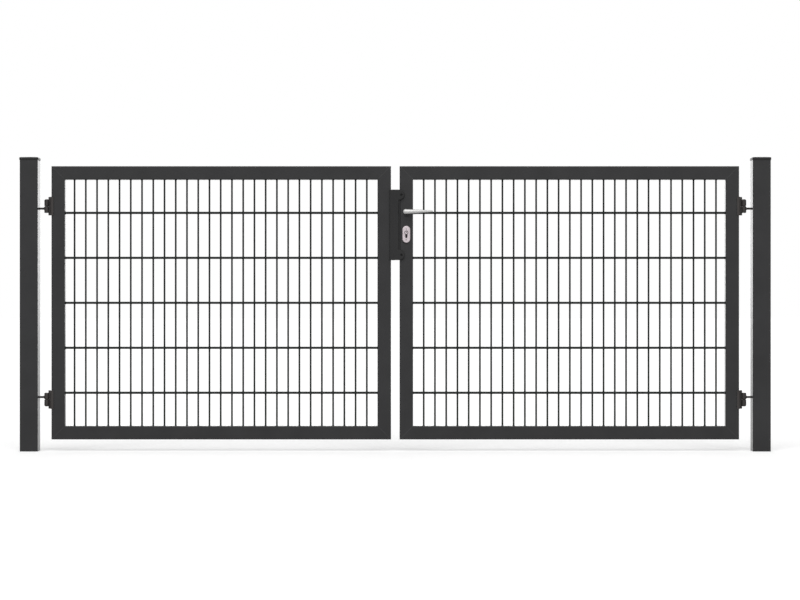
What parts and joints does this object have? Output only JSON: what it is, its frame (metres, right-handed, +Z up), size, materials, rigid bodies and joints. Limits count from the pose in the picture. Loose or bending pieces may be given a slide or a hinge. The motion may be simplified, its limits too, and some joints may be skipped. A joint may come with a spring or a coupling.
{
  "type": "double-leaf welded mesh driveway gate",
  "caption": "Driveway gate with two mesh-filled tube-frame leaves on eye-bolt hinges between square capped posts, with a lever lock and a keep where the leaves meet.",
  "frame": {"origin": "middle of the left post's foot, at ground level", "axes": "+X along the gate to the right post, +Y to the back of the gate, +Z up"},
  "size_m": [3.3344, 0.137, 1.3075],
  "materials": {
    "frame_coat": "anthracite powder coat",
    "mesh_coat": "anthracite powder coat",
    "cap_plastic": "moulded, satin",
    "hinge_coat": "dark coated steel",
    "lever_aluminium": "satin",
    "lock_steel": "satin"
  },
  "bodies": {
    "posts": {"left_post": "frame_coat", "right_post": "frame_coat", "left_post_cap": "cap_plastic", "right_post_cap": "cap_plastic", "left_upper_eye_bolt": "hinge_coat", "left_lower_eye_bolt": "hinge_coat", "right_upper_eye_bolt": "hinge_coat", "right_lower_eye_bolt": "hinge_coat"},
    "left_leaf": {"left_top_rail": "frame_coat", "left_bottom_rail": "frame_coat", "left_hinge_stile": "frame_coat", "left_meeting_stile": "frame_coat", "keep_face_plate": "frame_coat", "keep_channel": "frame_coat", "left_mesh": "mesh_coat", "left_upper_hinge_shoe": "hinge_coat", "left_lower_hinge_shoe": "hinge_coat", "left_upper_hinge_pin": "hinge_coat", "left_lower_hinge_pin": "hinge_coat"},
    "right_leaf": {"right_top_rail": "frame_coat", "right_bottom_rail": "frame_coat", "right_hinge_stile": "frame_coat", "right_lock_stile": "frame_coat", "right_mesh": "mesh_coat", "right_upper_hinge_shoe": "hinge_coat", "right_lower_hinge_shoe": "hinge_coat", "right_upper_hinge_pin": "hinge_coat", "right_lower_hinge_pin": "hinge_coat", "lock_forend": "lock_steel", "latch_bolt": "lock_steel", "lock_cylinder": "lock_steel", "front_rosette": "lock_steel", "rear_rosette": "lock_steel"},
    "handle": {"front_lever": "lever_aluminium", "rear_lever": "lever_aluminium", "lever_spindle": "lock_steel"}
  },
  "joints": [
    {"name": "left_leaf_swing", "type": "hinge", "parent": "posts", "child": "left_leaf", "pos_m": [0.0745, 0, 0.659], "axis": [0, 0, -1], "range_deg": [0, 90]},
    {"name": "right_leaf_swing", "type": "hinge", "parent": "posts", "child": "right_leaf", "pos_m": [3.1755, 0, 0.659], "axis": [0, 0, -1], "range_deg": [0, 90]},
    {"name": "lever_turn", "type": "hinge", "parent": "right_leaf", "child": "handle", "pos_m": [1.674, 0, 1.063], "axis": [0, 1, 0], "range_deg": [0, 45], "stiffness_Nm_per_rad": 1.2, "springref_deg": -20.05}
  ]
}
